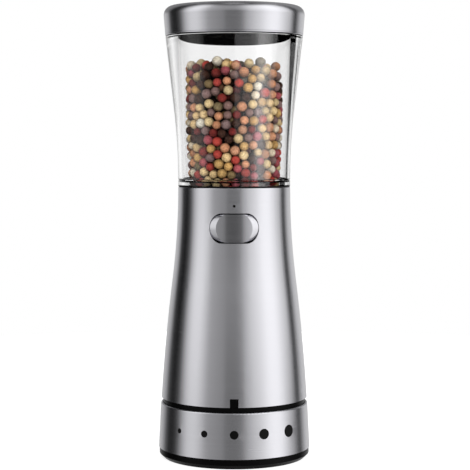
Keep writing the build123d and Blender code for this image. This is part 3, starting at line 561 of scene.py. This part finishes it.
def ceramic(name, dark, pale):
    paint = Paint(name)
    speck = paint.cloud(paint.place(), scale=3200.0, detail=5.0, roughness=0.7)
    shader = paint.surface(
        Base_Color=paint.shades(speck, dark, pale, (0.35, 0.65)),
        Roughness=paint.spread(speck, 0.42, 0.6),
        Normal=paint.bump(speck, strength=0.18, distance=0.00005),
    )
    return paint.done(shader)


def sheet_stack(name):
    """Stamped iron sheets, seen as thin bands up the armature."""
    paint = Paint(name)
    bands = paint.add("ShaderNodeTexWave", wave_type="BANDS", bands_direction="Z")
    bands.inputs["Scale"].default_value = 320.0
    bands.inputs["Distortion"].default_value = 0.4
    paint.join(paint.coords.outputs["Object"], bands.inputs["Vector"])
    value = bands.outputs["Fac"]
    shader = paint.surface(
        Base_Color=paint.shades(value, (0.17, 0.16, 0.155), (0.36, 0.34, 0.33), (0.1, 0.6)),
        Metallic=0.9,
        Roughness=0.45,
        Normal=paint.bump(value, strength=0.4, distance=0.00008),
    )
    return paint.done(shader)


def solder_mask(name):
    """Green board with paler copper runs under the mask."""
    paint = Paint(name)
    runs = paint.add("ShaderNodeTexBrick")
    runs.inputs["Scale"].default_value = 260.0
    runs.inputs["Mortar Size"].default_value = 0.06
    runs.inputs["Color1"].default_value = (0.012, 0.10, 0.045, 1.0)
    runs.inputs["Color2"].default_value = (0.016, 0.13, 0.055, 1.0)
    runs.inputs["Mortar"].default_value = (0.05, 0.24, 0.11, 1.0)
    split = paint.split(paint.coords.outputs["Object"])
    paint.join(paint.combine(X=split["X"], Y=split["Z"]), runs.inputs["Vector"])
    shader = paint.surface(
        Base_Color=runs.outputs["Color"],
        Roughness=0.3,
        Coat_Weight=0.4,
        Normal=paint.bump(runs.outputs["Fac"], strength=0.25, distance=0.00004),
    )
    return paint.done(shader)


def lamp_lens(name):
    paint = Paint(name)
    glow = paint.cloud(paint.place(), scale=1600.0)
    colour = paint.shades(glow, (0.82, 0.80, 0.62), (0.9, 0.9, 0.84))
    return paint.done(paint.surface(Base_Color=colour, Roughness=0.25, Subsurface_Weight=0.2))


def cell_wrap(name, low, high):
    """Dark wrap with a copper-coloured band at one end and bare steel caps."""
    paint = Paint(name)
    height = paint.split(paint.coords.outputs["Object"])["Z"]
    share = paint.spread(height, 0.0, 1.0, (low, high))
    ends = [0.0, 0.03, 0.72, 0.95]
    colours = [(0.55, 0.55, 0.56), (0.03, 0.032, 0.04), (0.62, 0.33, 0.16), (0.55, 0.55, 0.56)]
    metal = [grey(1.0), grey(0.1), grey(0.7), grey(1.0)]
    scuff = paint.cloud(paint.place((1, 1, 0.2)), scale=900.0)
    shader = paint.surface(
        Base_Color=paint.ramp(share, list(zip(ends, colours)), "CONSTANT"),
        Metallic=paint.ramp(share, list(zip(ends, metal)), "CONSTANT"),
        Roughness=paint.spread(scuff, 0.22, 0.38),
        Normal=paint.bump(scuff, strength=0.06, distance=0.00003),
    )
    return paint.done(shader)


def pepper_skin(name):
    """Dried peppercorn. Each corn's tint is its colour attribute, whose alpha says how wrinkled it is."""
    paint = Paint(name)
    tint = paint.add("ShaderNodeVertexColor", layer_name="tint")
    spots = paint.cloud(paint.place(), scale=1500.0, detail=4.0, roughness=0.65)
    shade = paint.shades(spots, (0.50, 0.46, 0.42), (1.2, 1.18, 1.16), (0.32, 0.62))
    folds = paint.cells(paint.place(), scale=720.0, feature="DISTANCE_TO_EDGE")
    creases = paint.spread(folds, 0.0, 1.0, (0.0, 0.12))
    depth = paint.math("MULTIPLY", creases, tint.outputs["Alpha"])
    relief = paint.math("ADD", depth, paint.math("MULTIPLY", spots, 0.5))
    shader = paint.surface(
        Base_Color=paint.blend(1.0, tint.outputs["Color"], shade, "MULTIPLY"),
        Roughness=0.5,
        Specular_IOR_Level=0.3,
        Normal=paint.bump(relief, strength=0.5, distance=0.0002),
    )
    return paint.done(shader)


def floor_white(name):
    """White in the picture apart from shadow, grey for the light that it sends up, and not in reflections."""
    paint = Paint(name)
    pale = paint.add("ShaderNodeBsdfDiffuse")
    pale.inputs["Color"].default_value = (*grey(floor_grey), 1.0)
    glow = paint.add("ShaderNodeEmission")
    glow.inputs["Strength"].default_value = floor_glow
    shadowed = paint.add("ShaderNodeBsdfDiffuse")
    shadowed.inputs["Color"].default_value = (*grey(floor_shade), 1.0)
    both = paint.add("ShaderNodeAddShader")
    paint.join(glow.outputs[0], both.inputs[0])
    paint.join(shadowed.outputs[0], both.inputs[1])
    rays = paint.add("ShaderNodeLightPath").outputs
    straight = paint.math("MAXIMUM", rays["Is Camera Ray"], rays["Is Transmission Ray"])
    plain = paint.either(straight, pale.outputs[0], both.outputs[0])
    passed = paint.add("ShaderNodeBsdfTransparent")
    return paint.done(paint.either(rays["Is Glossy Ray"], plain, passed.outputs[0]))


def make_materials():
    """One material for each of the record's slots."""
    low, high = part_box("cell_1")
    return {
        "steel": brushed_steel("steel_brushed", light=0.74, roughness=0.25, stretch=0.7),
        "gloss_black": moulded_plastic(
            "black_gloss", grey(0.0015), grey(0.0025), roughness=0.24, grain=900.0, shine=0.06
        ),
        "matte_black": moulded_plastic(
            "black_moulded", grey(0.006), grey(0.011), roughness=0.5, grain=2200.0, shine=0.25
        ),
        "clear": clear_plastic("acrylic_clear"),
        "seal": rubber("seal_rubber", (0.11, 0.11, 0.115), (0.17, 0.17, 0.175)),
        "fastener": plain_metal(
            "fastener_zinc", (0.5, 0.5, 0.52), (0.64, 0.64, 0.66), roughness=0.32, grain=1500.0
        ),
        "motor_steel": zinc_plate("motor_zinc"),
        "brass": plain_metal(
            "brass_bare", (0.62, 0.43, 0.17), (0.78, 0.58, 0.27), roughness=0.3, grain=700.0
        ),
        "nylon": moulded_plastic(
            "nylon_natural", (0.74, 0.72, 0.64), (0.82, 0.80, 0.73), roughness=0.42, grain=1200.0
        ),
        "burr_ceramic": ceramic("burr_ceramic", (0.78, 0.765, 0.71), (0.88, 0.87, 0.83)),
        "magnet": ceramic("magnet_ferrite", (0.045, 0.045, 0.047), (0.085, 0.085, 0.09)),
        "core": sheet_stack("core_sheets"),
        "board": solder_mask("board_mask"),
        "lamp": lamp_lens("lamp_lens"),
        "lead": rubber("lead_insulation", (0.36, 0.02, 0.015), (0.47, 0.035, 0.025)),
        "cell": cell_wrap("cell_wrap", low.z, high.z),
    }


def put_on(piece, material):
    for slot in piece.material_slots:
        slot.material = material


def dress_nodes(materials):
    """Each node gets its slot's material, and some nodes one of their own."""
    nodes = frame["nodes"]
    for row in frame["record"]["subparts"]:
        put_on(nodes[row["node"]], materials[row["material_slot"]])
    dots = moulded_plastic("dot_inlay", grey(0.003), grey(0.005), roughness=0.3, grain=2200.0, shine=0.09)
    put_on(nodes["setting_dots"], dots)
    put_on(nodes["light_pipe"], smoked_plastic("window_smoked"))
    put_on(nodes["button_cap"], brushed_steel("steel_satin", light=0.70, roughness=0.2, stretch=0.0))
    put_on(nodes["container"], clear_plastic("acrylic_tumbler", tumbler_lines))
    put_on(nodes["container_ring"], clear_plastic("acrylic_ring", ring_lines))


def make_button_coils(material):
    """The button's springs, as a copy of their CAD node, which takes the place of the hidden node."""
    coils = bpy.data.objects.new("button_coils", frame["nodes"]["button_springs"].data.copy())
    bpy.context.scene.collection.objects.link(coils)
    put_on(coils, material)
    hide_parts("button_springs")
    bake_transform(coils)


# Peppercorns

def column_at(height):
    """Radius that the corns fill at a height."""
    return np.interp(height, column_levels, column_radii)


def near_pairs(place, radius):
    """Numbers of the corns that lie close together, each pair once."""
    square = (place ** 2).sum(axis=1)
    apart = square[:, None] + square[None, :] - 2 * place @ place.T
    reach = (radius[:, None] + radius[None, :] + pair_margin) ** 2
    return np.nonzero(np.triu(apart < reach, 1))


def keep_inside(place, radius):
    """Moves corns back over the floor and into the column."""
    place[:, 2] = np.maximum(place[:, 2], corn_floor + radius)
    reach = np.hypot(place[:, 0], place[:, 1])
    limit = column_at(place[:, 2]) - radius
    shrink = np.where(reach > limit, limit / np.maximum(reach, tiny), 1.0)
    place[:, :2] *= shrink[:, None]


def pull_outward(place, radius, distance):
    """Moves the corns that are near the column's wall toward it."""
    reach = np.hypot(place[:, 0], place[:, 1])
    near = column_at(place[:, 2]) - radius - reach < pull_reach
    place[near, :2] *= (1 + distance / reach[near])[:, None]


def settle_corns(rng):
    """Drops balls into the column, pulls the outer ones to its wall and pushes all apart till they rest."""
    radius = rng.uniform(corn_low, corn_high, corn_count)
    angle = rng.uniform(0, 2 * math.pi, corn_count)
    reach = np.sqrt(rng.uniform(0, 1, corn_count)) * column_radii[0]
    height = rng.uniform(corn_floor, corn_top, corn_count)
    place = np.stack([reach * np.cos(angle), reach * np.sin(angle), height], axis=1)
    for step in range(corn_steps):
        if step % pair_wait == 0:
            first, second = near_pairs(place, radius)
        ease = max(0.0, 1 - step / (corn_steps - corn_calm))
        place[:, 2] -= corn_drop * ease
        pull_outward(place, radius, corn_pull * ease)
        gap = place[first] - place[second]
        distance = np.linalg.norm(gap, axis=1) + tiny
        overlap = np.clip(radius[first] + radius[second] - distance, 0, None)
        push = gap * (overlap / distance * push_share)[:, None]
        np.add.at(place, first, push)
        np.subtract.at(place, second, push)
        keep_inside(place, radius)
    return place, radius


def corn_tint(rng):
    """A kind's tint in a shade of the corn's own, with the kind's wrinkles as alpha."""
    shares = np.array([kind[0] for kind in corn_kinds])
    tint, wrinkle = corn_kinds[rng.choice(len(corn_kinds), p=shares / shares.sum())][1:]
    shade = rng.uniform(*corn_shade)
    warm = rng.uniform(*corn_warmth)
    return (tint[0] * shade * warm, tint[1] * shade, tint[2] * shade / warm, wrinkle)


def corn_shape(subdivisions):
    """Points and faces of a ball of radius one."""
    ball = bmesh.new()
    bmesh.ops.create_icosphere(ball, subdivisions=subdivisions, radius=1.0)
    points = np.array([vert.co for vert in ball.verts])
    faces = np.array([[vert.index for vert in face.verts] for face in ball.faces])
    ball.free()
    return points, faces


def lumps(points, number, repeats, step, depth):
    """How far each of a ball's points goes in or out, by a noise that moves on from corn to corn."""
    shift = Vector([number * part for part in step])
    return depth * np.array([noise.noise(Vector(point * repeats) + shift) for point in points])


def lumpy(points, number):
    """A ball's points moved in and out, in broad lumps and fine ones, differently for each corn."""
    size = lump_middle + lumps(points, number, *broad_lumps) + lumps(points, number, *fine_lumps)
    return points * size[:, None]


def painted_shade_tints(points, tint, outward):
    """A corn's tint at each of its points with painted shade: darker away from the side that lies open, for
    the shadow of its neighbours.
    """
    open_share = np.clip(points @ outward / np.linalg.norm(outward), 0, 1)
    tints = np.tile(tint, (len(points), 1))
    tints[:, :3] *= (neighbour_shade_share + (1 - neighbour_shade_share) * open_share)[:, None]
    return tints


def corn_piece(name, corns, skin):
    """One piece of several corns, each given as points, faces and tints, which moves with the container."""
    points, faces, tints = zip(*corns)
    starts = np.cumsum([0] + [len(part) for part in points[:-1]])
    all_faces = np.concatenate([part + start for part, start in zip(faces, starts)])
    mesh = bpy.data.meshes.new(name)
    mesh.from_pydata(np.concatenate(points).tolist(), [], all_faces.tolist())
    tint = mesh.color_attributes.new("tint", "FLOAT_COLOR", "POINT")
    tint.data.foreach_set("color", np.concatenate(tints).ravel())
    mesh.shade_smooth()
    mesh.materials.append(skin)
    piece = bpy.data.objects.new(name, mesh)
    bpy.context.scene.collection.objects.link(piece)
    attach(piece, "container")


def make_peppercorns():
    """The corns that show, finely shaped, and those inside the heap."""
    rng = np.random.default_rng(corn_seed)
    places, radii = settle_corns(rng)
    reach = np.hypot(places[:, 0], places[:, 1])
    depth = column_at(places[:, 2]) - radii - reach
    on_top = places[:, 2] > np.sort(places[:, 2])[-top_number:].mean() - top_depth
    outward = np.column_stack([places[:, :2] / reach[:, None], on_top])
    seen = (depth < seen_depth) | on_top
    glimpsed = depth < glimpsed_depth
    fine_ball = corn_shape(subdivisions=3)
    plain_ball = corn_shape(subdivisions=2)
    outer = []
    inner = []
    for number in range(corn_count):
        points, faces = fine_ball if seen[number] else plain_ball
        # Painted shade: corns behind the first layer have their tint darkened, and those deeper still start
        # from the dark hidden tint
        tint = corn_tint(rng) if seen[number] or glimpsed[number] else hidden_shade_tint
        if not seen[number]:
            tint = (*(glimpsed_shade_share * part for part in tint[:3]), tint[3])
        shape = lumpy(points, number) * radii[number] + places[number]
        # The corn's tints carry painted shade toward its neighbours
        corn = (shape, faces, painted_shade_tints(points, tint, outward[number]))
        (outer if seen[number] else inner).append(corn)
    skin = pepper_skin("pepper_skin")
    corn_piece("peppercorns", outer, skin)
    corn_piece("peppercorns_inside", inner, skin)


# Studio

def ring_of_panels(nodes, share, stops):
    return nodes.ramp(share, [((angle + 180) / 360, grey(level)) for angle, level in stops])


def soft_panels(nodes, way, share):
    """The ring that the steel shows, with its part below the horizon, dark behind and above."""
    low = nodes.spread(way["Z"], 0.0, 1.0, low_height)
    level_ring = ring_of_panels(nodes, share, steel_ring)
    panels = nodes.blend(low, level_ring, ring_of_panels(nodes, share, low_ring))
    high = nodes.spread(way["Z"], 0.0, 1.0, back_height)
    behind = nodes.math("MULTIPLY", high, nodes.spread(way["Y"], 0.0, 1.0, back_depth))
    return nodes.blend(1.0, panels, nodes.spread(behind, 1.0, back_level, whole), "MULTIPLY")


def camera_screen(nodes, way, toward):
    """What is left of the panels' light in a direction, which is little where the camera's screen stands."""
    side = nodes.math("ABSOLUTE", way["X"])
    height = nodes.math("ABSOLUTE", nodes.math("SUBTRACT", way["Z"], screen_middle))
    within_width = nodes.spread(side, 1.0, 0.0, screen_width)
    within_height = nodes.spread(height, 1.0, 0.0, screen_height)
    before = nodes.math("GREATER_THAN", toward, 0.0)
    within = nodes.math("MULTIPLY", nodes.math("MULTIPLY", within_width, within_height), before)
    return nodes.spread(within, 1.0, screen_level, whole)


def reflected_studio(nodes, rays):
    """Background shader of the panels, the ceiling and the camera's screen."""
    way = nodes.split(nodes.coords.outputs["Generated"])
    toward = nodes.math("MULTIPLY", way["Y"], -1.0)
    turn = nodes.math("ARCTAN2", way["X"], toward)
    share = nodes.spread(turn, 0.0, 1.0, (-math.pi, math.pi))
    crisp = ring_of_panels(nodes, share, glass_ring)
    panels = nodes.blend(rays["Is Singular Ray"], soft_panels(nodes, way, share), crisp)
    above = nodes.spread(way["Z"], 0.0, 1.0, ceiling_height)
    ceiling = nodes.spread(way["Z"], ceiling_level, zenith_level, zenith_height)
    overhead = nodes.spread(way["Z"], 1.0, overhead_gain, overhead_height)
    unscreened = nodes.math("MULTIPLY", overhead, camera_screen(nodes, way, toward))
    lighting = nodes.spread(rays["Is Diffuse Ray"], 1.0, ring_light, whole)
    studio = nodes.add("ShaderNodeBackground")
    nodes.join(nodes.blend(above, panels, ceiling), studio.inputs["Color"])
    nodes.join(nodes.math("MULTIPLY", unscreened, lighting), studio.inputs["Strength"])
    return studio.outputs[0]


def make_world():
    """White backdrop, also through the clear walls, and a ring of panels and dark flags for reflections."""
    world = bpy.data.worlds.new("studio")
    bpy.context.scene.world = world
    world.use_nodes = True
    nodes = Nodes(world.node_tree)
    rays = nodes.add("ShaderNodeLightPath").outputs
    studio = reflected_studio(nodes, rays)
    backdrop = nodes.add("ShaderNodeBackground")
    backdrop.inputs["Color"].default_value = white
    unreflected = nodes.math("LESS_THAN", rays["Glossy Depth"], 0.5)
    through = nodes.math("MULTIPLY", rays["Is Transmission Ray"], unreflected)
    straight = nodes.math("MAXIMUM", rays["Is Camera Ray"], through)
    output = nodes.add("ShaderNodeOutputWorld")
    nodes.join(nodes.either(straight, studio, backdrop.outputs[0]), output.inputs["Surface"])


def make_floor():
    """Round table top just under the foot."""
    mesh = bpy.data.meshes.new("floor")
    shape = bmesh.new()
    bmesh.ops.create_circle(shape, cap_ends=True, segments=floor_corners, radius=floor_radius)
    shape.to_mesh(mesh)
    shape.free()
    mesh.materials.append(floor_white("floor_white"))
    floor = bpy.data.objects.new("floor", mesh)
    floor.location = (0.0, 0.0, cad_box[0][2] - floor_gap)
    bpy.context.scene.collection.objects.link(floor)


def make_lamp(name, place, width, power):
    """Soft lamp turned to the mill, which stays out of reflections."""
    data = bpy.data.lights.new(name, "AREA")
    data.shape = "DISK"
    data.size = width
    data.energy = power
    lamp = bpy.data.objects.new(name, data)
    lamp.location = place
    aim = Vector((0.0, 0.0, cad_box[1][2] * lamp_aim))
    lamp.rotation_euler = (aim - Vector(place)).to_track_quat("-Z", "Y").to_euler()
    lamp.visible_glossy = False
    lamp.visible_transmission = False
    bpy.context.scene.collection.objects.link(lamp)


def make_camera():
    data = bpy.data.cameras.new("camera")
    data.lens = camera_lens
    data.sensor_width = camera_sensor
    camera = bpy.data.objects.new("camera", data)
    camera.location = camera_place
    camera.rotation_euler = (math.radians(camera_tilt), 0.0, 0.0)
    bpy.context.scene.collection.objects.link(camera)
    bpy.context.scene.camera = camera


def main():
    bpy.context.scene.view_settings.view_transform = "Standard"
    make_camera()
    make_world()
    make_floor()
    make_lamp("lamp_front", *lamp_front)
    make_lamp("lamp_top", *lamp_top)
    make_lamp("lamp_back", *lamp_back)
    materials = make_materials()
    dress_nodes(materials)
    make_button_coils(materials["fastener"])
    make_peppercorns()


main()
